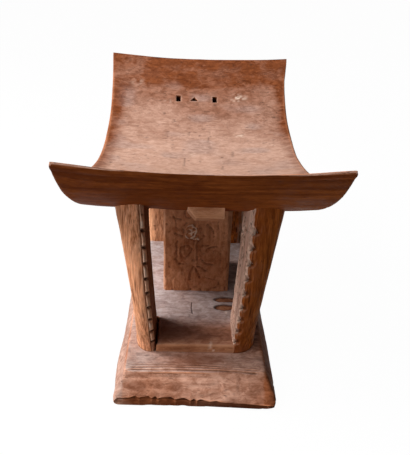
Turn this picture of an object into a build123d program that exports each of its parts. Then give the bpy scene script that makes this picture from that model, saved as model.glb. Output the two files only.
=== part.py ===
from build123d import *
from math import pi, sin, sqrt
import os

# Ashanti stool: a crescent seat on a central column and four bowed legs with notched arrises,
# standing on a low plinth and a bevelled base.  The real stool is carved from one block, so the
# carved members below meet face to face, and nothing joins them but the wood itself.
#
# Frame: origin on the floor under the middle of the base, +Z up, Y along the seat with the
# front end at -Y, X across the seat.  All sizes are in millimetres.

# ---- seat ----------------------------------------------------------------------------------
seat_length = 500
seat_end_width = 303
seat_waist_width = 280  # across the middle, where the long sides draw in
seat_tip_height = 346  # floor to the upper corners of the ends
seat_rise = 83  # ends above the middle, along the side edges of the top
seat_dish = 6.5  # middle of each section below its side edges, above and beneath
seat_tip_thickness = 9
seat_middle_thickness = 56.5  # half way along the seat
seat_edge_chamfer = 2
seat_end_chamfer = 1.5
seat_stations = 4  # sections from the middle to each end that shape it

# ---- three perforations near the rear end of the seat --------------------------------------
perforation_along = 165  # middle of the seat to the row
left_slot_across = -35
right_slot_across = 25
slot_width = 7
slot_length = 15
triangle_across = -9
triangle_base = 13
triangle_height = 10

# ---- base and plinth -----------------------------------------------------------------------
base_length = 457
base_width = 209
base_edge_height = 12
base_height = 41
base_ledge_length = 404  # the flat top inside the bevels
base_ledge_width = 184
base_corner_round = 4
plinth_height = 13
plinth_inset = 2  # the plinth's sides inside the legs' outer sides
plinth_lap = 4  # past the legs' back faces, so that no gap opens where they lean away

# ---- central column and the rib under the seat ---------------------------------------------
column_width = 100
column_depth = 87
column_arris = 3  # chamfer of the corners
column_wide_arris = 11  # the front right corner's chamfer, which widens to this at the seat
rib_width = 46
rib_depth = 14  # below the seat's underside, whose curve the rib follows
rib_end = 167  # middle of the stool to the rib's front face
rib_across = 6  # the rib is right of the column's middle
rib_worn_corner = 11  # the lower left corner is cut back

# ---- legs ----------------------------------------------------------------------------------
leg_end = 169  # middle of the stool to the leg's end face, at the foot
leg_depth = 64  # from that face back towards the column
leg_bow = 15  # bulge of the leg towards the seat's end, half way up
leg_outer = 82.5  # centre plane to the leg's outer side, at the foot
leg_flare = 26.5  # how much further out that side is at the seat
leg_flare_power = 1.75  # the flare gathers pace as the leg rises
leg_arris = 55  # centre plane to the notched arris, at the foot
leg_arris_flare = 16
leg_back = 52  # centre plane to the inner face's back corner, at the foot
leg_back_flare = 10
leg_end_round = 40  # how far the rounded end face runs back along the outer side
leg_end_facets = 4  # adze cuts that make that round
leg_back_round = 14
leg_back_facets = 2
leg_arris_width = 8  # chamfer along the arris
leg_stations = 7  # sections that shape the leg

# ---- notches up each leg's arris -----------------------------------------------------------
notch_count = 9
notch_pitch = 21.5
first_notch = 17  # foot of the leg to the first ledge
notch_depth = 4.5
notch_opening = 8  # ledge to the top of the notch, at the arris

# ---- sizes that follow from the ones above -------------------------------------------------
seat_middle_height = seat_tip_height - seat_rise
underside_height = seat_middle_height - seat_middle_thickness
underside_tip_height = seat_tip_height - seat_tip_thickness
floor_height = base_height + plinth_height
overcut = 10  # how far cutting tools run past the wood
half_root = sqrt(0.5)  # each part of a unit vector at 45 degrees


def along_seat(middle, end, along):
    """A size that changes from the middle of the seat to its ends, as the square of Y."""
    return middle + (end - middle) * (2 * along / seat_length) ** 2


def underside_at(along):
    """Height of the seat's underside at its side edges."""
    return along_seat(underside_height, underside_tip_height, along)


leg_top = underside_at(leg_end)


def hewn_round(start, corner, end, facets):
    """Points of a round from start to end inside a corner, cut as flat facets as an adze does."""
    curve = Bezier(start, corner, end, mode=Mode.PRIVATE)
    return [curve @ (cut / facets) for cut in range(facets + 1)]


def leg_share(height):
    """0 at the foot of a leg and 1 where its end face meets the seat."""
    return (height - base_height) / (leg_top - base_height)


def leg_end_at(height):
    """Middle of the stool to the leg's bowed end face."""
    return leg_end + leg_bow * sin(pi * leg_share(height))


def leg_arris_at(height):
    """Centre plane to the notched arris."""
    return leg_arris + leg_arris_flare * leg_share(height)


# ---- seat ----------------------------------------------------------------------------------
with BuildPart() as seat:
    # sections across the seat: narrow at the waist, thin at the ends, dished above and below
    for station in range(-seat_stations, seat_stations + 1):
        along = seat_length / 2 * station / seat_stations
        side = along_seat(seat_waist_width, seat_end_width, along) / 2
        top = along_seat(seat_middle_height, seat_tip_height, along)
        under = underside_at(along)
        with BuildSketch(Plane.XZ.offset(-along)) as section:
            with BuildLine():
                upper = ThreePointArc((-side, top), (0, top - seat_dish), (side, top))
                lower = ThreePointArc((side, under), (0, under - seat_dish), (-side, under))
                Line(upper @ 1, lower @ 0)
                Line(lower @ 1, upper @ 0)
            make_face()
            chamfer(section.vertices(), length=seat_edge_chamfer)
    loft()
    end_faces = seat.faces().sort_by(Axis.Y)
    chamfer(end_faces[0].edges() + end_faces[-1].edges(), length=seat_end_chamfer)
    # the perforations run square to the top, right through
    top_slope = 8 * seat_rise * perforation_along / seat_length**2
    perforation_height = along_seat(seat_middle_height, seat_tip_height, perforation_along)
    perforation_plane = Plane(
        origin=(0, perforation_along, perforation_height - seat_dish),
        x_dir=(1, 0, 0),
        z_dir=(0, -top_slope, 1),
    )
    with BuildSketch(perforation_plane):
        with Locations((left_slot_across, 0), (right_slot_across, 0)):
            Rectangle(slot_width, slot_length)
        with BuildLine():
            Polyline(
                (triangle_across - triangle_base / 2, -triangle_height / 2),
                (triangle_across + triangle_base / 2, -triangle_height / 2),
                (triangle_across, triangle_height / 2),
                close=True,
            )
        make_face()
    extrude(amount=seat_middle_thickness, both=True, mode=Mode.SUBTRACT)

# ---- everything above the seat's underside: it trims what carries the seat -----------------
with BuildPart() as above_underside:
    extrude(
        to_extrude=seat.faces().sort_by(Axis.Z)[0],
        amount=seat_tip_height,
        dir=(0, 0, 1),
    )

# ---- base ----------------------------------------------------------------------------------
with BuildPart() as base:
    with BuildSketch() as foot_outline:
        Rectangle(base_width, base_length)
        fillet(foot_outline.vertices(), radius=base_corner_round)
    extrude(amount=base_edge_height)
    # the bevels
    with BuildSketch(Plane.XY.offset(base_edge_height)) as lower_outline:
        Rectangle(base_width, base_length)
        fillet(lower_outline.vertices(), radius=base_corner_round)
    with BuildSketch(Plane.XY.offset(base_height)) as ledge_outline:
        Rectangle(base_ledge_width, base_ledge_length)
        fillet(ledge_outline.vertices(), radius=base_corner_round)
    loft()

# ---- central column ------------------------------------------------------------------------
with BuildPart() as column:
    for height, arris in ((floor_height, column_arris), (underside_at(leg_end), column_wide_arris)):
        with BuildSketch(Plane.XY.offset(height)) as outline:
            Rectangle(column_width, column_depth)
            front_right = outline.vertices().sort_by(Axis((0, 0, 0), (1, -1, 0)))[-1]
            others = outline.vertices().sort_by(Axis((0, 0, 0), (1, -1, 0)))[:-1]
            chamfer(front_right, length=arris)
            chamfer(others, length=column_arris)
    loft()
    add(above_underside.part, mode=Mode.SUBTRACT)

# ---- rib under the seat, from the column forwards ------------------------------------------
rib_back = column_depth / 2
rib_middle = (rib_end + rib_back) / 2
rib_front_low, rib_middle_low, rib_back_low = (
    (-along, underside_at(along) - seat_dish - rib_depth)
    for along in (rib_end, rib_middle, rib_back)
)
with BuildPart() as rib:
    with BuildSketch(Plane.YZ.offset(rib_across - rib_width / 2)):
        with BuildLine():
            ThreePointArc(rib_front_low, rib_middle_low, rib_back_low)
            Polyline(
                rib_back_low,
                (-rib_back, underside_at(rib_end)),
                (-rib_end, underside_at(rib_end)),
                rib_front_low,
            )
        make_face()
    extrude(amount=rib_width)
    lower_edges = rib.faces().sort_by(Axis.Z)[0].edges()
    chamfer(lower_edges.sort_by(Axis.X)[0], length=rib_worn_corner)
    add(above_underside.part, mode=Mode.SUBTRACT)

# ---- legs: one is shaped, and the others mirror it -----------------------------------------
with BuildPart() as leg:
    for station in range(leg_stations):
        height = base_height + (leg_top + overcut - base_height) * station / (leg_stations - 1)
        share = leg_share(height)
        end = leg_end_at(height)
        back = end - leg_depth
        arris = leg_arris_at(height)
        outer = leg_outer + leg_flare * share**leg_flare_power
        # a broad round from the arris to the outer side, and a small one behind it
        round_end = hewn_round(
            (arris, end), (outer, end), (outer, end - leg_end_round), leg_end_facets
        )
        round_back = hewn_round(
            (outer, back + leg_back_round),
            (outer, back),
            (outer - leg_back_round, back),
            leg_back_facets,
        )
        with BuildSketch(Plane.XY.offset(height)):
            with BuildLine():
                Polyline(
                    *round_end,
                    *round_back,
                    (leg_back + leg_back_flare * share, back),
                    (arris - leg_arris_width / 2, end - leg_arris_width),
                    close=True,
                )
            make_face()
    loft()
    add(above_underside.part, mode=Mode.SUBTRACT)
    # saw-tooth notches: a level ledge, and a recess that slopes back out to the arris above it
    for notch in range(notch_count):
        height = base_height + first_notch + notch * notch_pitch
        notch_plane = Plane(
            origin=(
                leg_arris_at(height) - leg_arris_width / 4,
                leg_end_at(height) - leg_arris_width / 2,
                height,
            ),
            x_dir=(-half_root, half_root, 0),
            z_dir=(half_root, half_root, 0),
        )
        slope_reach = notch_opening * (notch_depth + overcut) / notch_depth
        with BuildSketch(notch_plane):
            with BuildLine():
                Polyline(
                    (-notch_depth, 0),
                    (overcut, 0),
                    (overcut, slope_reach),
                    close=True,
                )
            make_face()
        extrude(amount=leg_depth / 2, both=True, mode=Mode.SUBTRACT)

legs = {
    "leg_rear_right": leg.part,
    "leg_rear_left": mirror(leg.part, about=Plane.YZ),
    "leg_front_right": mirror(leg.part, about=Plane.XZ),
    "leg_front_left": leg.part.rotate(Axis.Z, 180),
}

# ---- plinth: it fills the floor between the legs, and its ends are flush with theirs -------
with BuildPart() as plinth:
    with BuildSketch(Plane.XY.offset(base_height)):
        Rectangle(2 * leg_arris, 2 * leg_end)
        Rectangle(2 * (leg_outer - plinth_inset), 2 * (leg_end - leg_depth + plinth_lap))
    extrude(amount=plinth_height)
    add(legs.values(), mode=Mode.SUBTRACT)

# ---- the finished pieces -------------------------------------------------------------------
pieces = legs | {
    "seat": seat.part,
    "column": column.part,
    "rib": rib.part,
    "plinth": plinth.part,
    "base": base.part,
}
os.makedirs("parts", exist_ok=True)
for name, piece in pieces.items():
    piece.label = name
    export_step(piece, f"parts/{name}.step")
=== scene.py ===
from math import cos, hypot, radians, sin

import bmesh
import bpy
import numpy as np
from mathutils import Matrix, Vector
from mathutils.bvhtree import BVHTree


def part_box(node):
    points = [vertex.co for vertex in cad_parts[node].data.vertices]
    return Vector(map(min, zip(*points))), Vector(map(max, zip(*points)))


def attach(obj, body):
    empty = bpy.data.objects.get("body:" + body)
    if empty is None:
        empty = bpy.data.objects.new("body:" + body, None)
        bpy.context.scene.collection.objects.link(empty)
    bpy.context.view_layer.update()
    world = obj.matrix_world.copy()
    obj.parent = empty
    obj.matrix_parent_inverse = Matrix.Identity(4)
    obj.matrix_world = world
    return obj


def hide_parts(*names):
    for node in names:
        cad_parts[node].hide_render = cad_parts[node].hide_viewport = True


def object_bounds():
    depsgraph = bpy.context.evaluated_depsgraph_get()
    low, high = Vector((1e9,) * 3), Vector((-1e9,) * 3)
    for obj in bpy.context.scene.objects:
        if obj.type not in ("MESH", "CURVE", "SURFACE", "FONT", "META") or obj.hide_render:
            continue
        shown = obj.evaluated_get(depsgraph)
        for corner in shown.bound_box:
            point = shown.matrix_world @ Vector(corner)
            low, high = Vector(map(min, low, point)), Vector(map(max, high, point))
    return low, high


# Ashanti stool, carved from one block and worn by use.  Each carved member of the CAD model is
# meshed finely, softened along its edges, tooled and incised here, and gets its own wood.
# Lengths in this file are in millimetres; they become metres where a mesh is written.

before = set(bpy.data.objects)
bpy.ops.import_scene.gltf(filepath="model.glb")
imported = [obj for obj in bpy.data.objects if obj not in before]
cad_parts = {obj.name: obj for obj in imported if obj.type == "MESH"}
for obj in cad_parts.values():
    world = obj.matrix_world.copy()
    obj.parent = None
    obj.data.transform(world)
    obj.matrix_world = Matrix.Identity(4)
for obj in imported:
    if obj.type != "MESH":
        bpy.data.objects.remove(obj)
cad_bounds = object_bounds()

MM = 0.001
SINK = 4.0  # how far a member runs on into its neighbour, so that no seam opens between them
ALONG_X, ALONG_Z = 0, 2  # the axis that a member's fibres follow


# ---- sizes, from the frame and from the CAD model's driving values ---------------------------
def node_box(node):
    """Lowest and highest corner of a CAD node, in millimetres."""
    return tuple(np.array(corner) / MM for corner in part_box(node))


cad_low, cad_high = (np.array(corner) / MM for corner in cad_bounds)
ledge_height = node_box("base")[1][2]
floor_height = node_box("plinth")[1][2]
column_top = node_box("column")[1][2]
half_length = 250.0
seat_middle, seat_rise, seat_dish = 263.0, 83.0, 6.5
under_middle, under_rise = 206.5, 130.5
waist_side, end_side = 140.0, 151.5


def seat_side(y):
    """Centre plane to the seat's long side."""
    return waist_side + (end_side - waist_side) * (y / half_length) ** 2


def seat_top(x, y):
    dish = seat_dish * (1 - (x / seat_side(y)) ** 2)
    return seat_middle + seat_rise * (y / half_length) ** 2 - dish


def underside(x, y):
    dish = seat_dish * (1 - (x / seat_side(y)) ** 2)
    return under_middle + under_rise * (y / half_length) ** 2 - dish


# ---- repeatable noise ----------------------------------------------------------------------
def lattice(x, y, z, seed):
    """A repeatable random number from 0 to 1 for each whole-numbered point."""
    mixed = (x * 374761393 + y * 668265263 + z * 1440662683 + seed * 1274126177) & 0xFFFFFFFF
    mixed = ((mixed ^ (mixed >> 13)) * 1274126177) & 0xFFFFFFFF
    return ((mixed ^ (mixed >> 16)) & 0xFFFF) / 65535


def noise(points, size, seed):
    """Smooth noise from -1 to 1.  size is the spacing of its bumps, one number or one per axis."""
    scaled = points / np.asarray(size, float)
    cell = np.floor(scaled).astype(np.int64)
    part = scaled - cell
    part = part * part * (3 - 2 * part)
    total = np.zeros(len(points))
    for step_x in (0, 1):
        for step_y in (0, 1):
            for step_z in (0, 1):
                step = np.array((step_x, step_y, step_z))
                share = np.where(step, part, 1 - part).prod(axis=1)
                corner = cell + step
                total += share * lattice(corner[:, 0], corner[:, 1], corner[:, 2], seed)
    return 2 * total - 1


def smooth_step(value, low, high):
    """0 below low, 1 above high, and an even ramp between."""
    share = np.clip((value - low) / (high - low), 0, 1)
    return share * share * (3 - 2 * share)


def bump(value, middle, half_width):
    """1 at the middle, falling evenly to 0 at half_width either side."""
    return 1 - smooth_step(np.abs(value - middle), 0, half_width)


def distance_to_path(places, path):
    """Distance from each 2-D place to a line of points."""
    nearest = np.full(len(places), np.inf)
    for start, end in zip(path[:-1], path[1:]):
        start, run = np.array(start, float), np.subtract(end, start).astype(float)
        share = np.clip(((places - start) @ run) / (run @ run), 0, 1)
        away = places - start - share[:, None] * run
        nearest = np.minimum(nearest, np.hypot(away[:, 0], away[:, 1]))
    return nearest


def nearest_of(places, paths):
    """Distance from each 2-D place to the nearest of several lines."""
    return np.min([distance_to_path(places, path) for path in paths], axis=0)


# ---- fine meshes -----------------------------------------------------------------------------
def linked(name, data):
    """A new object in the scene."""
    made = bpy.data.objects.new(name, data)
    bpy.context.scene.collection.objects.link(made)
    return made


def applied(held):
    """The mesh that an object's modifiers make.  The object is removed."""
    seen = held.evaluated_get(bpy.context.evaluated_depsgraph_get())
    mesh = bpy.data.meshes.new_from_object(seen)
    bpy.data.objects.remove(held)
    return mesh


def fields(items, field, width, kind=np.float32):
    """One field of every item of a mesh, as rows of that width."""
    flat = np.empty(len(items) * width, kind)
    items.foreach_get(field, flat)
    return flat.reshape(-1, width)


def remeshed(node, voxel):
    """A voxel mesh of a CAD node."""
    solid = linked("solid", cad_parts[node].data.copy())
    remesh = solid.modifiers.new("fine", "REMESH")
    remesh.mode = "VOXEL"
    remesh.voxel_size = voxel * MM
    return applied(solid)


def sleeve(node, rings):
    """A closed tube through rings of points, each turning left for one who looks back down it."""
    rows, columns = rings.shape[:2]
    index = np.arange(rows * columns).reshape(rows, columns)
    following = np.roll(index, -1, axis=1)
    squares = np.stack((index[:-1], following[:-1], following[1:], index[1:]), axis=-1)
    faces = squares.reshape(-1, 4).tolist() + [index[0][::-1].tolist(), index[-1].tolist()]
    mesh = bpy.data.meshes.new(node)
    mesh.from_pydata((rings.reshape(-1, 3) * MM).tolist(), [], faces)
    return mesh


class Carving:
    """A fine mesh of one member: points and normals in millimetres, and marks for its wood."""

    def __init__(self, node, mesh):
        self.node = node
        self.read(mesh)

    def read(self, mesh):
        """Takes a mesh's points and edges, and starts with no marks."""
        self.mesh = mesh
        self.points = fields(mesh.vertices, "co", 3).astype(float) / MM
        self.count = len(self.points)
        self.edges = fields(mesh.edges, "vertices", 2, np.int32)
        self.degree = np.bincount(self.edges.ravel(), minlength=self.count).clip(1)
        self.marks = {}
        self.refresh()

    def refresh(self):
        """Writes the points to the mesh and reads its normals again."""
        self.mesh.vertices.foreach_set("co", (self.points * MM).astype(np.float32).ravel())
        self.mesh.update()
        self.normals = fields(self.mesh.vertex_normals, "vector", 3).astype(float)

    def noise(self, size, seed):
        """Smooth noise from -1 to 1 at each point."""
        return noise(self.points, size, seed)

    def shaken(self, places, by, size, seed):
        """2-D places of the points moved about by noise, so that a line drawn there wavers."""
        return places + by * np.stack((self.noise(size, seed), self.noise(size, seed + 1)), axis=1)

    def relaxed(self, values, rounds):
        """Values evened out over the mesh, each round moving them to their neighbours' mean."""
        one, other = self.edges.T
        values = values.copy()
        columns = values.reshape(self.count, -1)
        for _ in range(rounds):
            for column in range(columns.shape[1]):
                near = np.bincount(one, columns[other, column], self.count)
                near += np.bincount(other, columns[one, column], self.count)
                columns[:, column] = (columns[:, column] + near / self.degree) / 2
        return values

    def soften(self, least, most, patch, seed):
        """Rounds the edges, by more rounds of relaxing in some patches than in others."""
        crisp = self.relaxed(self.points, least)
        worn = self.relaxed(crisp, most - least)
        share = smooth_step(self.noise(patch, seed), -0.5, 0.6)[:, None]
        self.points = crisp * (1 - share) + worn * share
        self.refresh()

    def refine(self, mask):
        """Divides the mesh where the mask is true, so that finer cuts hold there."""
        shape = bmesh.new()
        shape.from_mesh(self.mesh)
        chosen = [edge for edge in shape.edges if all(mask[vert.index] for vert in edge.verts)]
        bmesh.ops.subdivide_edges(shape, edges=chosen, cuts=1, use_grid_fill=True)
        shape.to_mesh(self.mesh)
        shape.free()
        self.read(self.mesh)

    def cut(self, prisms):
        """Cuts closed prisms out of the mesh, each given as rings of corners from the bottom up."""
        corners, faces = [], []
        for rings in prisms:
            sides, first = len(rings[0]), len(corners)
            corners += [tuple(corner * MM) for ring in rings for corner in ring]
            last = len(corners) - sides
            faces.append([first + side for side in reversed(range(sides))])
            faces.append([last + side for side in range(sides)])
            for level in range(first, last, sides):
                for side in range(sides):
                    here, after = level + side, level + (side + 1) % sides
                    faces.append([here, after, after + sides, here + sides])
        cutter_mesh = bpy.data.meshes.new("cutter")
        cutter_mesh.from_pydata(corners, [], faces)
        cutter = linked("cutter", cutter_mesh)
        held = linked("held", self.mesh)
        difference = held.modifiers.new("cut", "BOOLEAN")
        difference.operation = "DIFFERENCE"
        difference.solver = "EXACT"
        difference.object = cutter
        self.read(applied(held))
        bpy.data.objects.remove(cutter)

    def press(self, depth):
        """Moves the surface inwards by a depth for each point."""
        self.points -= self.normals * np.asarray(depth)[:, None]
        self.refresh()

    def join(self, neighbours, reach=5.0, sink=2.5):
        """Carries the surface on into the members it is carved in one with, so no seam opens."""
        start = self.points.copy()
        for neighbour in neighbours:
            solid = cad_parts[neighbour].data
            corners = [vertex.co for vertex in solid.vertices]
            tree = BVHTree.FromPolygons(corners, [face.vertices for face in solid.polygons])
            low, high = node_box(neighbour)
            near = np.all((start > low - reach) & (start < high + reach), axis=1)
            for index in np.flatnonzero(near):
                _, normal, _, distance = tree.find_nearest(Vector(start[index] * MM), reach * MM)
                if normal is not None:
                    closeness = 1 - distance / MM / reach
                    self.points[index] -= np.array(normal) * sink * closeness**2
        self.refresh()

    def handwork(self, grain, seed, facets, unevenness=0.5, fibre=0.12):
        """Depth that a carver's tools and long use took off: swells, adze facets and dents."""
        fibres = np.full(3, 2.6)
        fibres[grain] = 60
        depth = unevenness * (0.5 + 0.5 * self.noise(62, seed))
        depth += facets * (0.5 + 0.5 * self.noise(17, seed + 1))
        depth += 0.35 * smooth_step(self.noise(8, seed + 2), 0.55, 0.95)
        depth += fibre * (0.5 + 0.5 * self.noise(fibres, seed + 3))
        return depth

    def mark(self, name, values):
        """Keeps a number from 0 to 1 for each point, for the materials to read."""
        held = self.marks.get(name, np.zeros(self.count))
        self.marks[name] = np.maximum(held, np.clip(values, 0, 1))

    def finish(self, material, below=None, calm=0.0):
        """Marks ridges and hollows, and hands the mesh over as a piece in its node's place.
        below is the material of the faces that look down; calm is where no ridge is marked."""
        even = self.relaxed(self.points, 14)
        standing = ((self.points - even) * self.normals).sum(axis=1)
        self.mark("ridge", smooth_step(standing, 0.12, 0.60) * (1 - calm))
        self.mark("hollow", smooth_step(-standing, 0.08, 0.45))
        self.points = np.clip(self.points, cad_low, cad_high)
        self.refresh()
        for mark, values in self.marks.items():
            layer = self.mesh.attributes.new(mark, "FLOAT", "POINT")
            layer.data.foreach_set("value", values.astype(np.float32))
        self.mesh.shade_smooth()
        self.mesh.materials.clear()
        self.mesh.materials.append(material)
        if below is not None:
            self.mesh.materials.append(below)
            downward = fields(self.mesh.polygons, "normal", 3)[:, 2] < -0.1
            self.mesh.polygons.foreach_set("material_index", downward.astype(np.int32))
        piece = linked(self.node + "_carving", self.mesh)
        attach(piece, "root")
        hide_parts(self.node)


# ---- materials -----------------------------------------------------------------------------
class Shader:
    """The nodes of a material or the world, with short calls for those that wood needs."""

    def __init__(self, owner):
        self.owner = owner
        owner.use_nodes = True
        self.tree = owner.node_tree
        self.tree.nodes.clear()

    def node(self, kind, inputs=None, **settings):
        """A new node with its settings; each input is a value or another node's output."""
        made = self.tree.nodes.new("ShaderNode" + kind)
        for key, value in settings.items():
            setattr(made, key, value)
        for socket, value in (inputs or {}).items():
            if isinstance(value, bpy.types.NodeSocket):
                self.tree.links.new(value, made.inputs[socket])
            else:
                made.inputs[socket].default_value = value
        return made

    def cloud(self, place, sizes, detail=4, rough=0.55, twist=0.0):
        """Cloudy noise from 0 to 1, with its blots of the sizes given."""
        scale = [1 / (size * MM) for size in sizes]
        inputs = {
            "Vector": self.node("Mapping", {"Vector": place, "Scale": scale}).outputs[0],
            "Scale": 1.0,
            "Detail": detail,
            "Roughness": rough,
            "Distortion": twist,
        }
        return self.node("TexNoise", inputs).outputs["Fac"]

    def ramp(self, value, low, high, start=0.0, end=1.0):
        """Value from low to high becomes start to end, and stays there beyond."""
        inputs = {0: value, 1: low, 2: high, 3: start, 4: end}
        return self.node("MapRange", inputs, interpolation_type="SMOOTHSTEP").outputs[0]

    def math(self, operation, first, second, clamp=False):
        inputs = {0: first, 1: second}
        return self.node("Math", inputs, operation=operation, use_clamp=clamp).outputs[0]

    def add(self, first, second, clamp=False):
        return self.math("ADD", first, second, clamp)

    def times(self, first, second):
        return self.math("MULTIPLY", first, second)

    def mix(self, share, first, second):
        """Two colours mixed."""
        inputs = {0: share, 6: first, 7: second}
        return self.node("Mix", inputs, data_type="RGBA").outputs[2]

    def mark(self, name):
        """One of the numbers that a Carving keeps for each point."""
        return self.node("Attribute", attribute_name=name).outputs["Fac"]

    def close(self, colour, roughness, height, relief, gloss):
        """Joins colour, roughness and relief, in millimetres, to the surface."""
        raised = self.node("Bump", {"Height": height, "Strength": 1.0, "Distance": relief * MM})
        inputs = {"Base Color": colour, "Roughness": roughness, "Normal": raised.outputs[0]}
        surface = self.node("BsdfPrincipled", inputs)
        surface.inputs["Specular IOR Level"].default_value = gloss
        self.node("OutputMaterial", {"Surface": surface.outputs[0]})
        return self.owner


def colour(red, green, blue):
    """A colour written as it looks, from 0 to 255, for a shader."""
    parts = [part / 255 for part in (red, green, blue)]
    linear = [((part + 0.055) / 1.055) ** 2.4 if part > 0.04 else part / 12.92 for part in parts]
    return (*linear, 1.0)


# a dark colour for dirt in hollows and for painted shade, a pale one for bare wood and painted
# highlights
GRIME_AND_SHADE = colour(38, 20, 13)
BARE_AND_HIGHLIGHT = colour(232, 206, 186)


def along_grain(grain, across, along):
    """Sizes of a noise that is drawn out along the fibres."""
    sizes = [across] * 3
    sizes[grain] = along
    return sizes


def wood(
    name, oiled_and_shaded, dry_and_lit, worn, grain,
    fibrous=0.5, patchy=0.16, grime_and_shade_strength=0.8, checks=0.5, relief=0.4, gloss=0.01, dust=None,
):  # fmt: skip
    """Old carved wood.  oiled and dry are each a dark and a pale colour, which also serve as
    painted shade and painted light; grain is an axis, fibrous the share of the shading that follows
    it, and patchy how far oiled and dry wood mingle."""
    shader = Shader(bpy.data.materials.new(name))
    oiled_and_shaded, dry_and_lit = ([colour(*tone) for tone in pair] for pair in (oiled_and_shaded, dry_and_lit))
    place = shader.node("TexCoord").outputs["Object"]
    # how the fibres run, and the mottling of old polish
    streaks = shader.cloud(place, along_grain(grain, 4.2, 60), detail=5, rough=0.62, twist=0.3)
    lines = shader.cloud(place, along_grain(grain, 1.5, 45), detail=3, rough=0.6)
    blots = shader.cloud(place, (30, 30, 30), detail=6, rough=0.62, twist=0.5)
    mottle_sizes = along_grain(grain, 7, 7 + 16 * fibrous)
    mottle = shader.cloud(place, mottle_sizes, detail=6, rough=0.7, twist=0.6)
    span = (0.3 + 0.1 * fibrous, 0.7 - 0.1 * fibrous, 0, fibrous / 2)
    shade = shader.add(shader.ramp(streaks, *span), shader.ramp(lines, *span))
    shade = shader.add(shade, shader.ramp(mottle, 0.32, 0.68, 0, 1 - fibrous))
    # oiled and dry wood, with an uneven border; the two also carry painted shade and painted light
    border = shader.add(shader.mark("dry_and_lit"), shader.ramp(blots, 0.3, 0.7, -patchy, patchy))
    ragged = shader.ramp(mottle, 0.3, 0.7, -patchy / 2, patchy / 2)
    border = shader.add(border, ragged, clamp=True)
    tone = shader.mix(border, shader.mix(shade, *oiled_and_shaded), shader.mix(shade, *dry_and_lit))
    # stains and painted shade, and the short dark checks of old wood
    tone = shader.mix(shader.times(shader.mark("stain_and_shade"), 0.75), tone, oiled_and_shaded[0])
    dashes = shader.cloud(place, along_grain(grain, 1.2, 9), detail=2, rough=0.5)
    where = shader.cloud(place, (24, 24, 24), detail=2, rough=0.5)
    dashes = shader.add(dashes, shader.ramp(where, 0.35, 0.65, -0.07, 0.07))
    dashes = shader.ramp(dashes, 0.69, 0.76, 0.0, checks)
    tone = shader.mix(dashes, tone, GRIME_AND_SHADE)
    # what the shape tells: worn ridges, dirt and painted shade in hollows, bare wood and painted
    # highlights
    ridge = shader.times(shader.mark("ridge"), shader.ramp(blots, 0.35, 0.6, 0.35, 1.0))
    tone = shader.mix(ridge, tone, colour(*worn))
    if dust is not None:
        lying = shader.times(shader.mark("dust"), shader.ramp(blots, 0.3, 0.62, 0.65, 1.0))
        tone = shader.mix(lying, tone, shader.mix(shade, *(colour(*part) for part in dust)))
    dirt_and_shade = shader.times(shader.mark("hollow"), grime_and_shade_strength)
    tone = shader.mix(dirt_and_shade, tone, GRIME_AND_SHADE)
    tone = shader.mix(shader.mark("bare_and_highlight"), tone, BARE_AND_HIGHLIGHT)
    rough = shader.ramp(blots, 0.35, 0.65, 0.46, 0.64)
    rough = shader.add(rough, shader.times(dirt_and_shade, 0.25))
    height = shader.add(shader.times(lines, 0.6), shader.times(streaks, 0.4))
    height = shader.math("SUBTRACT", height, dashes)
    return shader.close(tone, rough, height, relief, gloss)


# ---- seat ----------------------------------------------------------------------------------
row_along = 165.0  # the row of perforations
row_slope = 8 * seat_rise * row_along / (2 * half_length) ** 2
row_middle = np.array((0, row_along, seat_top(0, row_along)))
row_up = np.array((0, 1, row_slope)) / hypot(1, row_slope)
row_out = np.array((0, -row_slope, 1)) / hypot(1, row_slope)
prism_heights = (-75, -3, 20)  # from below the seat to above it, and where their rims end
perforations = [
    [(-38.5, -7.5), (-31.5, -7.5), (-31.5, 7.5), (-38.5, 7.5)],
    [(-15.5, -5), (-2.5, -5), (-9, 5)],
    [(21.5, -7.5), (28.5, -7.5), (28.5, 7.5), (21.5, 7.5)],
]
# marks on the seat: how far across and along it, and their reach; scuffs have a strength too
scuffs = ((65, 168, 19, 0.8), (62, 73, 13, 0.8), (-52, 158, 10, 0.4), (-105, 196, 16, 0.35),
          (-10, 6, 12, 0.5))  # fmt: skip
seat_checks = [
    [(47.5, 2), (48, 20)],
    [(-22.2, -42), (-21.5, -8)],
    [(12.7, 52), (13.5, 66)],
    [(30, -50), (31, -38)],
]
stains = (
    (-25, 206, 34), (-44, 239, 22), (60, 236, 40), (130, 228, 34), (-134, 232, 30),
    (-126, 190, 22), (-128, -2, 14), (110, 82, 9), (-8, 112, 26), (38, 128, 20), (-80, 104, 14),
)  # fmt: skip
rim_nicks = (-62, -21, 23.9)


def in_row(points):
    """Places across and up the seat, and height above it, from the middle of the perforations."""
    away = points - row_middle
    return np.stack((away[:, 0], away @ row_up), axis=1), away @ row_out


def perforation_prism(outline):
    """Rings of a perforation's corners, for a cut through the seat."""
    flat = [row_middle + np.array((across, 0, 0)) + row_up * up for across, up in outline]
    return [[corner + row_out * height for corner in flat] for height in prism_heights]


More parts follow.
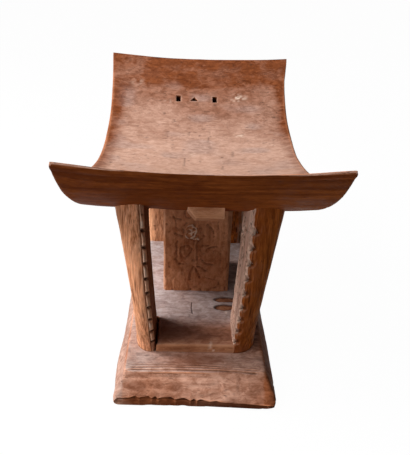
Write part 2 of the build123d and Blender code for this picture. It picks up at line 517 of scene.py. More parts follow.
def seat_rings():
    """Rings round the seat's section from its near end to its far one, closing over both ends."""
    across, down, rows = 144, 14, 228
    close = np.array((0, 0.9, 1.9, 3.1, 4.6))  # the rings behind each end
    along = np.linspace(6.5 - half_length, half_length - 6.5, rows)
    along = np.concatenate((close - half_length, along, half_length - close[::-1]))
    insets = np.array((3.9, 3.0, 2.0, 1.0))  # of the rings that close over the end
    along = np.pad(along, len(insets), mode="edge")
    inset = np.concatenate((insets, np.zeros(len(along) - 2 * len(insets)), insets[::-1]))
    span = np.linspace(-1, 1, across + 1)
    wall = np.linspace(0, 1, down + 1)
    # each ring runs over the top, down the right side, back underneath and up the left side
    share = np.concatenate((span[:-1], np.ones(down), span[:0:-1], -np.ones(down)))
    depth = np.concatenate((np.zeros(across), wall[:-1], np.ones(across), wall[:0:-1]))
    side = seat_side(along)[:, None]
    y = np.broadcast_to(along[:, None], (len(along), len(share)))
    x = share * (side - inset[:, None])
    top, bottom = seat_top(x, y) - inset[:, None], underside(x, y) + inset[:, None]
    return np.stack((x, y, top + (bottom - top) * depth), axis=2)


def warp_seat(points):
    """The carver's small departures from an even seat, and its near rim: its worn top leans back,
    it reaches furthest out a little below, and from there it slopes away into the underside."""
    x, y, z = points.T
    below = seat_top(x, y) - z
    # the near tips are fuller beneath
    near_tip = bump(y, -188, 112) * smooth_step(np.abs(x), 55, 128)
    low = smooth_step(below, 1, 9)
    points[:, 0] += np.where(x < 0, -3.0, 4.2) * near_tip * low
    points[:, 2] -= np.where(x < 0, 5.0, 3.2) * near_tip * low
    # the right side stands further in behind the middle, up to the far tip
    behind = smooth_step(y, 30, 170) * smooth_step(-y, -246, -205)
    points[:, 0] -= 3.0 * behind * smooth_step(x, 0, 140)
    # the dish is deeper by the near rim
    points[:, 2] -= 2.5 * smooth_step(-y, 205, 250) * (1 - np.clip(x / seat_side(y), -1, 1) ** 2)
    worn_top, slope_end = 1.4 + 2.6 * smooth_step(np.abs(x), 60, 140), 9
    leaning = 0.6 * np.clip(worn_top - below, 0, worn_top) * smooth_step(-y, 232, 249)
    sloping = np.clip((below - worn_top) / (slope_end - worn_top), 0, 1)
    points[:, 1] += leaning + 5.2 * sloping * np.clip((-y - 212) / 36, 0, 1)


def make_seat():
    carving = Carving("seat", sleeve("seat", seat_rings()))
    carving.soften(2, 5, patch=45, seed=11)
    x, y, z = carving.points.T
    depth = carving.handwork(ALONG_X, seed=21, unevenness=0.8, facets=0.25)
    for nick in rim_nicks:
        depth += 0.6 * bump(x, nick, 2.8) * smooth_step(-y, 245, 249) * smooth_step(z, 328, 331)
    chipped = smooth_step(carving.noise((26, 9, 9), 24), 0.35, 0.8)
    depth += 0.5 * chipped * smooth_step(-y, 236, 248)
    carving.press(depth)
    # the cut comes before the rim is shaped: made after it, it turned the seat inside out
    carving.cut([perforation_prism(outline) for outline in perforations])
    places, height = in_row(carving.points)
    warp_seat(carving.points)
    worn_round = carving.relaxed(carving.points, 4)
    at_rim = smooth_step(-carving.points[:, 1:2], 243, 246)
    carving.points += (worn_round - carving.points) * at_rim
    carving.refresh()
    x, y, z = carving.points.T
    upward = smooth_step(carving.normals[:, 2], 0.1, 0.6)
    # pale on top in the middle, oiled by hands at both ends and along the sides; the pale top is
    # partly a painted sheen, and the darker far upcurve is partly painted shade
    edge = smooth_step(np.abs(x) / seat_side(y), 0.80, 0.98)
    left_side = 0.35 * smooth_step(-x / seat_side(y), 0.7, 0.95)
    far_oil_and_shade = 0.5 * smooth_step(y, 10, 110) + 0.28 * smooth_step(y, 110, 185)
    far_oil_and_shade += 0.5 * smooth_step(y, 175, 225)
    near = 0.3 * smooth_step(-y, 150, 245)
    wander = 0.2 * carving.noise((60, 34, 40), 25)
    carving.mark("dry_and_lit", upward * (1.1 - far_oil_and_shade - near - 0.6 * edge - left_side + wander))
    greyed = smooth_step(carving.noise((42, 24, 30), 31), 0.0, 0.6)
    carving.mark("dust", 0.5 * upward * greyed * (1 - edge) * smooth_step(-y, -235, -150))
    carving.mark("dry_and_lit", 0.22 * upward * bump(np.hypot(x + 122, y - 216), 0, 48))
    carving.mark("dry_and_lit", 0.6 * (1 - upward) * smooth_step(x, -40, 130))
    # painted highlight: the near rim's upright band is made pale where light catches it
    rim = smooth_step(-y, 242.5, 245.5) * smooth_step(carving.normals[:, 2], -0.2, 0.2)
    carving.mark("dry_and_lit", rim * (0.75 + 0.3 * carving.noise((14, 14, 14), 30)))
    # the perforations' walls are painted dark as shade, and their rims are worn a little pale
    to_rim = nearest_of(places, [outline + outline[:1] for outline in perforations])
    on_top = smooth_step(height, -2.5, -1.5)
    carving.mark("bare_and_highlight", 0.14 * on_top * bump(to_rim, 0.8, 1.6))
    inside = (1 - smooth_step(to_rim, 0.15, 0.4)) * (1 - smooth_step(height, -2.8, -1.6))
    carving.mark("hollow", 1.25 * inside)
    by_rim = bump(to_rim, 0, 5) * smooth_step(height, -60, -50)
    for across, along, reach, strength in scuffs:
        spot = bump(np.hypot(x - across, (y - along) * 1.3), 0, reach) * upward
        scraped = smooth_step(carving.noise((4, 3, 6), 27), -0.2, 0.5)
        carving.mark("bare_and_highlight", strength * spot * scraped)
    checked = nearest_of(carving.points[:, :2], seat_checks)
    carving.mark("hollow", 0.6 * upward * bump(checked, 0, 2.0))
    for across, along, reach in stains:
        spot = bump(np.hypot(x - across, (y - along) * 1.8), 0, reach)
        carving.mark("stain_and_shade", 0.42 * spot * (0.7 + 0.5 * carving.noise((11, 7, 8), 28)))
    # the near underside darkens in bands: partly old oil, partly painted shade under the near end
    under_near = smooth_step(-y, 150, 235) * (1 - upward)
    banded = smooth_step(carving.noise((80, 12, 5), 29), -0.3, 0.5)
    carving.mark("stain_and_shade", 0.9 * under_near * banded)
    worn = (206, 136, 96)
    top = wood(
        "seat_wood",
        oiled_and_shaded=((92, 44, 20), (140, 78, 44)),
        dry_and_lit=((172, 130, 109), (204, 165, 146)),
        worn=worn, grain=ALONG_X, fibrous=0.25, patchy=0.12, checks=0.75, relief=0.3, gloss=0.15,
        dust=((128, 102, 94), (184, 158, 148)),
    )  # fmt: skip
    # the faces that look down get darker, more saturated wood: partly old oil, partly painted shade
    under = wood(
        "seat_under_wood",
        oiled_and_shaded=((96, 42, 14), (152, 80, 36)),
        dry_and_lit=((136, 68, 26), (196, 114, 58)),
        worn=worn, grain=ALONG_X, fibrous=0.6, patchy=0.2, checks=0.4,
    )  # fmt: skip
    along_side = 0.6 * smooth_step(np.abs(x) / seat_side(y), 0.9, 0.96)
    carving.finish(top, below=under, calm=np.maximum(by_rim, along_side))


# ---- column and rib ------------------------------------------------------------------------
half_width, half_depth = 50.0, 43.5  # of the column
# what is cut into the column's front, as lines across and up
stem = [(-2.3, 146.5), (-1.2, 123), (-0.9, 97)]
motif = [
    [(6.3, 144.9), (2, 139.9), (-0.2, 134.8), (0.6, 109.6)],
    [(-12.4, 132.3), (-22.4, 129.8), (-24.5, 119.7), (-21.7, 113), (-17.4, 110.5)],
    [(-17.4, 110.5), (-12.4, 115.5), (-8.8, 121.4), (-7.3, 127.3), (-12.4, 132.3)],
    [(-29, 140), (-31, 135), (-29, 129)],
    [(-29, 125), (-31.5, 120), (-29, 114)],
    [(-29, 113), (-31, 109), (-28.5, 104)],
    [(-26.7, 101.2), (-19.5, 100.4)],
    [(-31.7, 152.4), (-22.4, 149.5)],
    [(-34.6, 178.4), (-25.3, 176.3)],
    [(8.4, 133.8), (15.8, 134)],
    [(17, 129.4), (28.5, 132.3)],
    [(5.6, 109.6), (13.5, 102.1), (23.5, 101.3)],
    [(1.3, 97), (7.7, 94.5), (13.5, 89.5)],
    [(-3, 96.2), (-5.9, 92.9), (-8.8, 84.5), (-9.5, 73.6)],
    [(-2.3, 95.4), (2, 87), (5.6, 78.6)],
    [(14, 168), (22, 160), (24, 149)],
    [(-16, 170), (-22, 163), (-20, 156)],
]
splinters = [
    [(-17, 160), (-14, 166), (-9, 167), (-4, 164)],
    [(-16, 158), (-17, 151), (-13, 145), (-7, 145)],
    [(-3, 163), (-2, 157), (-5, 150), (-9, 146)],
    [(-12, 161), (-8, 158), (-9, 152)],
    [(-6, 145), (-1, 147), (2, 143)],
    [(-12, 154), (-6, 156), (-2, 160)],
]


def spread(corners, counts):
    """Points round a closed outline, so many along each side, for each row of corners."""
    sides = []
    for number, count in enumerate(counts):
        start = corners[number][:, None, :]
        end = corners[(number + 1) % len(corners)][:, None, :]
        share = (np.arange(count) / count)[None, :, None]
        sides.append(start + (end - start) * share)
    return np.concatenate(sides, axis=1)


def column_rings(rows=190):
    """Rings up the column, whose front right arris is planed away more and more as it rises."""
    arris, wide_arris, top_of_arris = 3.0, 11.0, 266.1
    low, high = floor_height - SINK, column_top + SINK
    heights = np.linspace(low, high, rows)
    wide = arris + (wide_arris - arris) * (heights - floor_height) / (top_of_arris - floor_height)
    same = np.full(rows, 1.0)
    corners = [
        np.stack((across, along), axis=1)
        for across, along in (
            (-same * (half_width - arris), -same * half_depth),
            (half_width - wide, -same * half_depth),
            (same * half_width, wide - half_depth),
            (same * half_width, same * (half_depth - arris)),
            (same * (half_width - arris), same * half_depth),
            (-same * (half_width - arris), same * half_depth),
            (-same * half_width, same * (half_depth - arris)),
            (-same * half_width, -same * (half_depth - arris)),
        )
    ]
    outline = spread(corners, (122, 9, 44, 4, 56, 4, 50, 5))
    tops = underside(outline[-1, :, 0], outline[-1, :, 1]) + SINK
    share = np.linspace(0, 1, rows)[:, None]
    levels = low + (tops - low)[None, :] * share
    return np.concatenate((outline, levels[:, :, None]), axis=2)


def make_column():
    carving = Carving("column", sleeve("column", column_rings()))
    carving.soften(2, 6, patch=22, seed=12)
    x, y, z = carving.points.T
    facing = smooth_step(-y, half_depth - 2, half_depth - 0.5)
    places = np.stack((x, z), axis=1)
    wobble = carving.shaken(places, 0.7, size=7, seed=32)
    incised = nearest_of(wobble, motif)
    fibres = nearest_of(carving.shaken(places, 1.7, size=4, seed=40), splinters)
    # veins: small winding cuts between the strokes of the motif
    veins = bump(carving.noise((13, 13, 17), 38), 0, 0.2)
    veins *= facing * smooth_step(carving.noise((24, 24, 24), 39), -0.3, 0.1)
    depth = carving.handwork(ALONG_Z, seed=31, facets=0.5)
    depth += facing * 1.4 * bump(incised, 0, 3.6)
    depth += 0.8 * veins
    depth -= facing * 1.1 * bump(distance_to_path(wobble, stem), 0, 3.6)
    depth += facing * 0.8 * smooth_step(carving.noise((5, 9, 6), 34), 0.0, 0.7)
    depth -= facing * 0.9 * bump(fibres, 0, 1.6)
    carving.press(depth)
    carving.mark("hollow", facing * 0.3 * bump(incised, 0, 2.8) + 0.16 * veins)
    torn = smooth_step(carving.noise(4, 35), -0.8, 0.0)
    carving.mark("bare_and_highlight", facing * bump(fibres, 0, 1.8) * torn)
    # painted highlight: pale along the left arris where light catches it, broken up in places
    left_arris = bump(np.hypot(x + half_width, y + half_depth), 1, 3.0)
    chipped = smooth_step(carving.noise((9, 9, 14), 36), -0.6, 0.3)
    carving.mark("bare_and_highlight", 0.5 * left_arris * chipped)
    # paler towards the top, as painted light against the seat's shadow there, with patches
    patches = 0.25 * carving.noise((30, 30, 26), 37)
    carving.mark("dry_and_lit", 0.35 + 0.55 * smooth_step(z, 135, 200) + patches)
    material = wood(
        "column_wood",
        oiled_and_shaded=((136, 78, 46), (180, 114, 76)),
        dry_and_lit=((188, 126, 90), (228, 166, 128)),
        worn=(222, 160, 124), grain=ALONG_Z, fibrous=0.35, checks=0.3, grime_and_shade_strength=0.5,
    )  # fmt: skip
    carving.finish(material)


def make_rib():
    carving = Carving("rib", remeshed("rib", voxel=1.15))
    carving.soften(2, 4, patch=18, seed=13)
    carving.join(("seat", "column"))
    z = carving.points[:, 2]
    depth = carving.handwork(ALONG_X, seed=41, facets=0.4)
    depth += 0.5 * bump(z, z.min() + 9 + 1.5 * carving.noise((14, 14, 14), 42), 1.6)
    carving.press(depth)
    carving.mark("dry_and_lit", 0.55 + 0.3 * carving.noise((20, 20, 6), 43))
    material = wood(
        "rib_wood",
        oiled_and_shaded=((150, 90, 56), (192, 128, 90)),
        dry_and_lit=((186, 128, 96), (226, 172, 136)),
        worn=(230, 176, 142), grain=ALONG_X,
    )  # fmt: skip
    carving.finish(material)


# ---- legs ----------------------------------------------------------------------------------
leg_end, leg_depth, leg_bow = 169.0, 64.0, 15.0
leg_outer, leg_flare, leg_flare_power = 82.5, 26.5, 1.75
leg_arris, leg_arris_flare, leg_arris_width = 55.0, 16.0, 8.0
leg_back, leg_back_flare = 52.0, 10.0
leg_end_round, leg_back_round = 40.0, 14.0
leg_top = under_middle + under_rise * (leg_end / half_length) ** 2
first_notch, notch_pitch, notch_count = 17.0, 21.5, 9
inner_count, arris_count = 44, 10  # points across the inner face and the arris
beyond_inner = -70  # distance from the arris, past the inner face


def leg_outlines(heights, inner_shift, arris_shift):
    """Places round a leg at each height: out from the centre plane, and towards the seat's end.
    Each shift is an inner corner's move outwards, at the foot and at the top."""
    share = (heights - ledge_height) / (leg_top - ledge_height)
    end = leg_end + leg_bow * np.sin(np.pi * share)
    back = end - leg_depth
    arris = leg_arris + leg_arris_flare * share + np.interp(share, (0, 1), arris_shift)
    outer = leg_outer + leg_flare * np.maximum(share, 0) ** leg_flare_power
    inner = leg_back + leg_back_flare * share + np.interp(share, (0, 1), inner_shift)

    def run(points, count, power=1):
        """A straight run or, with three points, a round, short of its last point."""
        points = [np.stack(point, axis=1)[:, None, :] for point in points]
        step = ((np.arange(count) / count) ** power)[None, :, None]
        if len(points) == 2:
            return points[0] * (1 - step) + points[1] * step
        return points[0] * (1 - step) ** 2 + 2 * points[1] * step * (1 - step) + points[2] * step**2

    inner_corner, arris_back = (inner, back), (arris - leg_arris_width / 2, end - leg_arris_width)
    arris_point, round_side = (arris, end), (outer, end - leg_end_round)
    back_side, back_end = (outer, back + leg_back_round), (outer - leg_back_round, back)
    runs = (
        run((inner_corner, arris_back), inner_count),
        run((arris_back, arris_point), arris_count),
        run((arris_point, (outer, end), round_side), 58, power=1.2),
        run((round_side, back_side), 6),
        run((back_side, (outer, back), back_end), 13),
        run((back_end, inner_corner), 18),
    )
    return np.concatenate(runs, axis=1)


def leg_rings(inner_shift, arris_shift, rows=215):
    """Rings round a leg, and each ring point's distance from the arris, inner face negative."""
    heights = np.linspace(ledge_height - SINK, leg_top + 3 * SINK, 260)
    outlines = leg_outlines(heights, inner_shift, arris_shift)
    rings = np.empty((rows, outlines.shape[1], 3))
    share = np.linspace(0, 1, rows)
    for place in range(outlines.shape[1]):
        out, along = outlines[:, place].T
        # each line up the leg ends where it meets the curved underside
        top = leg_top
        for _ in range(8):
            top = underside(np.interp(top, heights, out), np.interp(top, heights, along)) + SINK
        levels = heights[0] + (top - heights[0]) * share
        rings[:, place, 0] = np.interp(levels, heights, out)
        rings[:, place, 1] = np.interp(levels, heights, along)
        rings[:, place, 2] = levels
    middle = outlines[len(heights) // 2]
    around = np.cumsum(np.hypot(*(middle - np.roll(middle, 1, axis=0)).T))
    around -= around[inner_count + arris_count]
    return rings, np.broadcast_to(around, rings.shape[:2])


def make_leg(node, seed, style, inner_shift=(0, 0), arris_shift=(0, 0)):
    """lit in the style is 0 where the beads are worn pale, the outer side is painted pale as light
    and the inner face dark as shade, and 1 where the inner face is painted pale as light, the end
    face dark as shade, and the notches bite into the inner face."""
    low, high = node_box(node)
    side, end = np.sign((low + high)[:2])
    lit = style["lit"]
    rings, around = leg_rings(inner_shift, arris_shift)
    rings = rings * (side, end, 1)
    if side * end > 0:
        rings, around = rings[:, ::-1], around[:, ::-1]
    carving = Carving(node, sleeve(node, rings))
    around = around.ravel()
    carving.soften(1, 4, patch=25, seed=seed)
    z = carving.points[:, 2]
    inner = smooth_step(-around, 8, 12) * (around > beyond_inner)
    on_strip = smooth_step(around, -9.5, -8) * (1 - smooth_step(around, -0.5, 1.0))
    # a groove runs beside the arris, and notches divide the strip between into beads
    sway = 0.6 * noise(carving.points * (0, 0, 1) + seed, 24, seed + 3)
    groove = (1 - 0.8 * lit) * bump(around, 1.2 + sway, 1.9)
    depth = carving.handwork(ALONG_Z, seed=seed + 30, unevenness=0.7, facets=0.3, fibre=0.6)
    depth += 1.3 * groove
    across_ends = (-12 - lit, -7 - lit, 1.5 * lit, 2 + 4 * lit)
    across = np.interp(around, across_ends, (0, 1, 1, 0))
    bead, cuts, ledges = np.zeros((3, carving.count))
    climb = np.full(carving.count, 0.5)
    for number in range(notch_count):
        shift = 2.4 * (lattice(np.int64(number), np.int64(seed), np.int64(5), 9) - 0.5)
        ledge = ledge_height + first_notch + number * notch_pitch + shift
        ledge = ledge + 0.42 * np.clip(around, -14, 4) + 0.9 * carving.noise(6, seed + 4)
        rise = z - ledge
        saw = np.clip((rise + 0.9) / 0.9, 0, 1) * np.clip(1 - rise / style["notch_opening"], 0, 1)
        cuts = np.maximum(cuts, saw)
        ledges = np.maximum(ledges, bump(rise, -1.0, 1.6))
        climb = np.where(rise > 0, np.clip(rise / notch_pitch, 0, 1), climb)
        span = np.clip((rise - 2) / (notch_pitch - 4), 0, 1)
        bead = np.maximum(bead, np.sqrt(np.sin(np.pi * span) + 1e-6))
    depth += style["notch_depth"] * cuts * across
    depth -= (1.9 - 1.5 * lit) * bead * np.clip(1 - np.abs(around + 4.2) / 4.6, 0, 1) ** 0.6
    # gouge marks on the inner face, and drying checks along the grain
    gouge = carving.noise((9, 9, 7), seed + 5) + 0.6 * carving.noise((4, 4, 3), seed + 6)
    depth += (0.6 + 0.7 * lit) * inner * smooth_step(gouge, 0.0, 0.8)
    crack = carving.noise((3.4, 3.4, 70), seed + 7)
    cracked = smooth_step(crack, 0.62, 0.82) * (1 - on_strip)
    depth += 0.7 * cracked
    depth -= 1.0 * np.exp(-np.maximum(z - ledge_height, 0) / 2.2)
    carving.press(depth)
    # painted light on the inner face ends at a ragged border, which draws back as it climbs to each
    # notch
    border = -0.5 - 5.5 * climb - 2.0 * smooth_step(ledge_height + 150 - z, 0, 110)
    border += 1.2 * carving.noise((5, 5, 5), seed + 11)
    lit_inner = lit * smooth_step(border - around, -0.8, 0.8) * (around > beyond_inner)
    # painted shade in the notches
    notch_shade = (0.95 - 0.25 * lit) * np.clip(cuts * across * 1.6, 0, 1)
    carving.mark("hollow", 0.7 * cracked + notch_shade)
    # dirt in the groove, and painted shade on the inner face of the legs whose inner face is dark
    carving.mark("hollow", 0.8 * groove + 0.3 * (1 - lit) * inner)
    carving.mark("hollow", 0.8 * bump(z, ledge_height + 0.2, 1.6))
    # painted shade on the end face of the legs whose inner face is lit, and on the others' inner
    # face
    shaded_end = lit * (1 - lit_inner) * (1 - smooth_step(around, 6, 30))
    carving.mark("stain_and_shade", (1 - lit) * inner + shaded_end)
    # painted light in pale streaks on the upper inner face, under the seat's shadow
    splintered = smooth_step(carving.noise((3, 3, 15), seed + 12), -0.1, 0.5)
    carving.mark("bare_and_highlight", 0.4 * lit_inner * splintered * smooth_step(z, 140, 220))
    # beads pale from wear and painted light; painted light on the outer side of the legs whose
    # inner face is dark, and painted shade on the others' end face
    worn_lit_strip = (1 - lit) * on_strip * (0.45 + 0.4 * carving.noise((8, 8, 12), seed + 9))
    lit_side = (1 - lit) * (0.2 + 0.3 * smooth_step(around, 34, 60))
    end_shade_share = 0.35 * lit * (1 - lit_inner)
    carving.mark("dry_and_lit", 0.95 * lit_inner + lit_side + worn_lit_strip - end_shade_share)
    # chips at the foot, rubbed beads with a painted highlight on their edge, and painted highlight
    # on the ledges' tops
    chip = smooth_step(carving.noise((7, 7, 4), seed + 8), 0.1, 0.5) * bump(z, ledge_height + 4, 8)
    outside = smooth_step(around, 20, 34) * (1 - smooth_step(around, 90, 110))
    carving.mark("bare_and_highlight", 0.6 * chip * outside)
    rubbed_and_lit = smooth_step(carving.noise((5, 5, 7), seed + 10), -0.5, 0.4)
    rubbed_and_lit *= bump(around, -1.2, 3.0) * smooth_step(bead, 0.3, 0.8) * (1 - cuts)
    shelf = smooth_step(around, -11, -9) * (1 - smooth_step(around, -6, -3))
    carving.mark("bare_and_highlight", 0.95 * (1 - lit) * rubbed_and_lit + 0.45 * lit * ledges * shelf)
    material = wood(
        node + "_wood", style["oiled_and_shaded"], style["dry_and_lit"], style["worn"],
        grain=ALONG_Z, fibrous=0.88, patchy=0.14, relief=0.55,
    )  # fmt: skip
    carving.finish(material, calm=0.9 * shaded_end)


# ---- plinth and base -----------------------------------------------------------------------
ovals = ((44, -65, 17, 6.5), (42, -84, 15, 7.5))  # gouges in the plinth: middle and half sizes
plinth_crack = [(-5.4, -72.8), (-6.2, -86), (-4.8, -99.5)]
plinth_chips = ((47, -100), (24, -168))
front_face, bevel_foot, bevel_run = -228.5, 12.0, 26.5 / 29.0  # the base's front, in section
# the front's skew and the height of its bevel's lower edge, at places from left to right
skew_places, skews = (-104, -30, 20, 104), (0, 0, -1.2, -5.2)
edge_places = (-104, -98, -70, -38, -6, 26, 59, 104)
edge_heights = (9, 13, 14, 13, 12, 11.5, 11.5, 10)
tooth_pitch, tooth_height = 15.5, 2.2
base_grooves = ((5.4, 1.0), (9.6, 0.8), (13.6, 0.7), (17.5, 0.45))  # behind the break line


def make_plinth():
    carving = Carving("plinth", remeshed("plinth", voxel=1.6))
    carving.soften(2, 5, patch=30, seed=15)
    x, y, z = carving.points.T
    carving.refine((z > floor_height - 3) & (y < -38) & (y > -112) & (np.abs(x) < 66))
    carving.join(("base",))
    x, y, z = carving.points.T
    upward = smooth_step(carving.normals[:, 2], 0.6, 0.9)
    depth = carving.handwork(ALONG_X, seed=51, facets=0.3)
    scooped, rim = np.zeros((2, carving.count))
    for middle_x, middle_y, half_x, half_y in ovals:
        reach = np.hypot((x - middle_x) / half_x, (y - middle_y) / half_y)
        reach = reach + 0.10 * carving.noise(7, 52)
        scooped = np.maximum(scooped, 1 - smooth_step(reach, 0.82, 1.0))
        rim = np.maximum(rim, bump(reach, 0.97, 0.22))
    depth += upward * 1.3 * scooped
    cracked = bump(distance_to_path(np.stack((x, y), axis=1), plinth_crack), 0, 1.2)
    depth += upward * 0.9 * cracked
    rasped = carving.noise((34, 2.6, 4), 53)
    depth += upward * 0.25 * smooth_step(rasped, 0.1, 0.8)
    carving.press(depth)
    scratches = 0.25 * smooth_step(rasped, 0.35, 0.9)
    carving.mark("hollow", upward * (0.9 * rim + 0.9 * cracked + scratches))
    # dust settles towards the back and the left; the front is kept dark and dust-free, partly as
    # painted shadow
    settled_dust_and_shadow = 0.12 + 0.68 * smooth_step(y, -138, -104) + 0.35 * smooth_step(-x, 44, 56)
    carving.mark("dust", upward * (1 - 0.95 * scooped) * settled_dust_and_shadow)
    # painted shadow of the front left leg across the plinth's front
    carving.mark("stain_and_shade", 0.95 * bump(x, -24, 70) * bump(y, -140, 38))
    front_end = 0.7 * smooth_step(-y, 152, 166)
    carving.mark("dry_and_lit", 0.2 + 0.25 * carving.noise(24, 54) + front_end)
    for across, along in plinth_chips:
        spot = bump(np.hypot(x - across, 0.6 * (y - along)), 0, 9)
        carving.mark("bare_and_highlight", 0.7 * spot * smooth_step(carving.noise((4, 6, 4), 55), 0.1, 0.5))
    material = wood(
        "plinth_wood",
        oiled_and_shaded=((104, 58, 36), (150, 94, 62)),
        dry_and_lit=((140, 88, 60), (194, 134, 98)),
        worn=(184, 130, 98), grain=ALONG_X, fibrous=0.3, checks=0.6,
        dust=((142, 122, 118), (202, 190, 188)),
    )  # fmt: skip
    carving.finish(material)


def bevel_front(height):
    """How far forward the plane of the front bevel lies at a height."""
    return front_face + (height - bevel_foot) * bevel_run


def front_skew(x, height):
    """How much further forward the front stands towards the right corner, most at its foot."""
    share = np.clip((ledge_height - height) / (ledge_height - bevel_foot), 0, 1)
    return np.interp(x, skew_places, skews) * share


def front_edge(x):
    """Height of the front bevel's lower edge, which falls to the right, with an adze's teeth."""
    wave = (x + 104) / tooth_pitch + 0.25 * np.sin(x / 9.0) + 0.15 * np.sin(x / 4.1)
    tooth = tooth_height * np.interp(wave % 1.0, (0, 0.6, 1), (0, 1, 0))
    toothed = smooth_step(-x, -60, 5) * smooth_step(x, -99, -84)
    return np.interp(x, edge_places, edge_heights) + tooth * toothed


def warp_base(points):
    """A narrow facet runs along the foot of the front bevel, and the base's sides belly out."""
    x, y, z = points.T
    edge = front_edge(x)
    foot = front_face + 1 + front_skew(x, 0)
    facet = foot + (bevel_front(edge) + front_skew(x, edge) - foot) * z / edge
    front = np.where(z < edge, facet, bevel_front(z) + front_skew(x, z))
    points[:, 1] += (front - np.maximum(bevel_front(z), front_face)) * smooth_step(-y, 200, 221)
    left = smooth_step(-x, 60, 100)
    points[:, 0] -= 3.2 * bump(y, -165, 75) * left * (1 - smooth_step(z, 14, 40))
    left = smooth_step(-x, 60, 100)  # again, because x has moved with the points
    points[:, 0] -= 1.6 * smooth_step(-y, 205, 226) * left * (1 - smooth_step(z, 10, 30))
    right = smooth_step(x, 50, 95)
    points[:, 0] += 2.2 * smooth_step(-y, 40, 140) * right * (1 - smooth_step(z, 16, 40))


def make_base():
    carving = Carving("base", remeshed("base", voxel=2.3))
    carving.soften(1, 5, patch=40, seed=16)
    x, y, z = carving.points.T
    carving.refine((y < -182) & (z > 1))
    x, y, z = carving.points.T
    carving.refine((y < -188) & (y > -216) & (z > 33))
    warp_base(carving.points)
    carving.refresh()
    x, y, z = carving.points.T
    under_edge = 1 - smooth_step(z - front_edge(x), -1.2, 0.4)
    under_edge *= smooth_step(-y, 216, 222) * smooth_step(x, -104, -86)
    depth = carving.handwork(ALONG_X, seed=61, unevenness=0.8, facets=0.35, fibre=0.2)
    depth += 0.5 * under_edge * bump(z, front_edge(x) - 1.5, 2.5)
    inside = 1 - smooth_step(np.abs(x + 2), 78, 90)
    # the break line, and the grooves behind it, which close up to the left
    break_line = -207.0 - 0.00035 * (x + 30) ** 2 + 0.6 * carving.noise((30, 30, 30), 62)
    lip = smooth_step(z, 36, 38.5) * inside
    depth -= 1.6 * lip * bump(y, break_line + 1.6, 2.6)
    depth += 1.3 * inside * smooth_step(z, 30, 36) * bump(y, break_line - 2.2, 2.4)
    grooves = np.zeros(carving.count)
    for number, (offset, strength) in enumerate(base_grooves):
        line = break_line + offset + 0.7 * carving.noise((40, 40, 40), 63 + number)
        broken = smooth_step(carving.noise((26, 9, 9), 73 + number), -0.5, 0.1)
        groove = strength * (0.55 + 0.45 * broken) * bump(y, line, 1.5)
        grooves = np.maximum(grooves, groove)
    grooves *= lip
    depth += 1.2 * grooves
    hewn = smooth_step(carving.noise((15, 9, 8), 82), 0.1, 0.7)
    depth += 0.8 * smooth_step(-y, 200, 214) * hewn
    chips = smooth_step(carving.noise((7, 7, 5), 83), 0.35, 0.7) * bump(z, 12, 9)
    depth += 0.5 * chips * smooth_step(x, 90, 102)
    depth += 2.0 * smooth_step(x, 94, 106) * smooth_step(-y, 222, 230)
    carving.press(depth)
    carving.mark("hollow", 0.7 * grooves + 0.6 * inside * lip * bump(y, break_line - 1.8, 1.7))
    shaded = 0.45 * smooth_step(x, -20, 30) * under_edge
    carving.mark("hollow", shaded * smooth_step(carving.noise((22, 9, 5), 88), -0.9, 0.1))
    carving.mark("ridge", 0.9 * lip * bump(y, break_line + 1.4, 2.0))
    # painted shade, with stain, on the facet under the bevel's lower edge
    carving.mark("stain_and_shade", under_edge * (0.6 + 0.6 * smooth_step(x, -70, 20)))
    on_bevel = smooth_step(carving.noise((24, 12, 12), 84), 0.15, 0.6)
    carving.mark("stain_and_shade", 0.6 * smooth_step(-y, 200, 212) * on_bevel)
    corner = bump(x, 8, 78) * bump(y, -185, 32) * smooth_step(z, 36, 39)
    carving.mark("stain_and_shade", corner * (1.1 + 0.3 * carving.noise((18, 8, 8), 87)))
    upward = smooth_step(carving.normals[:, 2], 0.75, 0.97) * (1 - smooth_step(-y, 204, 212))
    dusty = 0.6 + 0.5 * carving.noise((44, 26, 26), 85) + 0.45 * smooth_step(-x, 20, 80)
    carving.mark("dust", 0.8 * upward * dusty * (1 - 0.8 * corner))
    # painted light at the left end; painted shade on the facet under the bevel and along the right
    # side
    dryness_and_light = 0.5 + 0.25 * smooth_step(-x, 78, 100) + 0.4 * bump(x, 18, 60)
    dryness_and_light += 0.35 * carving.noise((30, 18, 18), 86)
    carving.mark("dry_and_lit", dryness_and_light - 0.5 * under_edge - 0.6 * smooth_step(x, 86, 93))
    side_bevel = smooth_step(np.abs(x), 92, 95) * smooth_step(carving.normals[:, 2], 0.1, 0.4)
    carving.mark("dust", 0.5 * side_bevel * smooth_step(-x, 0, 60))
    material = wood(
        "base_wood",
        oiled_and_shaded=((94, 46, 24), (172, 104, 68)),
        dry_and_lit=((156, 106, 82), (214, 168, 146)),
        worn=(218, 142, 100), grain=ALONG_X, fibrous=0.3, checks=0.6,
        dust=((126, 106, 98), (190, 166, 156)),
    )  # fmt: skip
    calm = 0.75 * smooth_step(np.abs(x), 80, 88) * smooth_step(y, -226, -214)
    carving.finish(material, calm=calm)


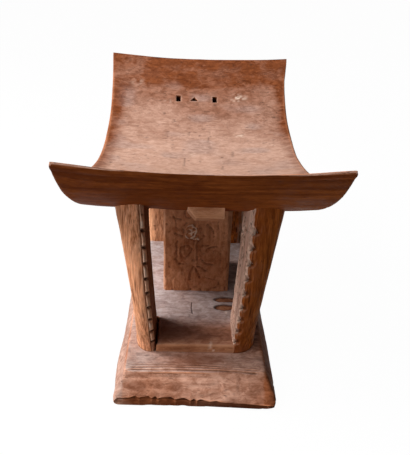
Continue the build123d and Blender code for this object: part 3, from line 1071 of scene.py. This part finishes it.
# ---- studio --------------------------------------------------------------------------------
def make_floor():
    """A pale floor that keeps a soft shadow of the stool, and is white to look at."""
    half, drop = 12.0, 0.2 * MM  # in metres
    mesh = bpy.data.meshes.new("floor")
    corners = [(-half, -half, 0), (half, -half, 0), (half, half, 0), (-half, half, 0)]
    mesh.from_pydata(corners, [], [(0, 1, 2, 3)])
    floor = linked("floor", mesh)
    floor.location.z = -drop
    shader = Shader(bpy.data.materials.new("floor"))
    # 1 where the camera, a gloss or a glass looks straight at the floor
    path = shader.node("LightPath")
    seen = shader.math("MAXIMUM", path.outputs["Is Camera Ray"], path.outputs["Is Glossy Ray"])
    seen = shader.math("MAXIMUM", seen, path.outputs["Is Transmission Ray"])
    white = shader.node("Emission", {"Color": colour(255, 255, 255), "Strength": 1.0})
    # it throws little light back up at the stool, and still shows the stool's shadow
    tone = shader.mix(seen, colour(118, 114, 110), colour(250, 250, 250))
    matt = shader.node("BsdfDiffuse", {"Color": tone})
    share = shader.times(seen, 0.98)
    mixed = shader.node("MixShader", {0: share, 1: matt.outputs[0], 2: white.outputs[0]})
    shader.node("OutputMaterial", {"Surface": mixed.outputs[0]})
    mesh.materials.append(shader.owner)


def make_world(strength):
    """White to look at, and an even dim light on the stool."""
    shader = Shader(bpy.data.worlds.new("studio"))
    path = shader.node("LightPath").outputs
    seen = shader.add(path["Is Camera Ray"], path["Is Transmission Ray"], clamp=True)
    dim, white = (
        shader.node("Background", {"Color": (1, 1, 1, 1), "Strength": glow}).outputs[0]
        for glow in (strength, 1.0)
    )
    mixed = shader.node("MixShader", {0: seen, 1: dim, 2: white})
    shader.node("OutputWorld", {"Surface": mixed.outputs[0]})
    bpy.context.scene.world = shader.owner


def make_lamp(name, towards, size, power, distance=1.7):
    """A square softbox that shines at the middle of the stool from a direction.  In metres."""
    aim = Vector((0, 0, 0.17))
    lamp = bpy.data.lights.new(name, "AREA")
    lamp.size = size
    lamp.energy = power
    holder = linked(name, lamp)
    direction = Vector(towards).normalized()
    holder.location = aim + direction * distance
    holder.rotation_mode = "QUATERNION"
    holder.rotation_quaternion = direction.to_track_quat("Z", "Y")


def make_camera():
    """The camera stands before the stool's front end and looks down on it."""
    place = Vector((-15.912, -762.264, 557.563)) * MM
    yaw, pitch, roll = radians(2.08), radians(28.6388), radians(2.4767)
    focal_pixels, picture_height, sensor = 569.203, 455, 36.0
    forward = Vector((sin(yaw) * cos(pitch), cos(yaw) * cos(pitch), -sin(pitch)))
    level = Vector((cos(yaw), -sin(yaw), 0))
    up = level.cross(forward)
    right = level * cos(roll) + up * sin(roll)
    up = up * cos(roll) - level * sin(roll)
    lens = bpy.data.cameras.new("camera")
    lens.sensor_width = sensor
    lens.lens = focal_pixels * sensor / picture_height
    camera = linked("camera", lens)
    turned = Matrix((right, up, -forward)).transposed()
    camera.matrix_world = Matrix.Translation(place) @ turned.to_4x4()
    bpy.context.scene.camera = camera


make_seat()
make_column()
make_rib()
# the legs' palettes are lit and shaded copies of one wood: painted light on the left legs, painted
# shade on the right legs and on the rear left leg
lit_left_style = {
    "oiled_and_shaded": ((132, 74, 42), (236, 162, 118)),
    "dry_and_lit": ((166, 118, 90), (244, 198, 168)),
    "worn": (244, 194, 162),
    "lit": 0, "notch_depth": 3.6, "notch_opening": 4.6,
}  # fmt: skip
right_style = {
    "oiled_and_shaded": ((122, 60, 24), (226, 132, 62)),
    "dry_and_lit": ((160, 116, 98), (236, 198, 178)),
    "worn": (240, 204, 182),
    "lit": 1, "notch_depth": 5.2, "notch_opening": 10,
}  # fmt: skip
shaded_style = lit_left_style | {
    "oiled_and_shaded": ((116, 62, 34), (206, 134, 90)),
    "dry_and_lit": ((146, 100, 74), (220, 168, 134)),
    "worn": (220, 162, 124),
}
make_leg("leg_front_left", 70, lit_left_style, inner_shift=(2, 4), arris_shift=(2.5, 0))
make_leg("leg_front_right", 80, right_style, inner_shift=(-4, -5), arris_shift=(-3.5, -3.5))
make_leg("leg_rear_left", 90, shaded_style)
make_leg("leg_rear_right", 100, right_style)
make_plinth()
make_base()
make_floor()
make_world(strength=0.10)
make_lamp("left_low", towards=(-0.88, 0.14, 0.45), size=0.6, power=21)
make_lamp("left_high", towards=(-0.64, -0.09, 0.77), size=0.6, power=15)
make_lamp("front_high", towards=(-0.56, -0.32, 0.77), size=0.7, power=17)
make_lamp("front_fill", towards=(-0.56, -0.79, 0.25), size=0.9, power=7.5)
make_camera()
bpy.context.scene.view_settings.view_transform = "Standard"
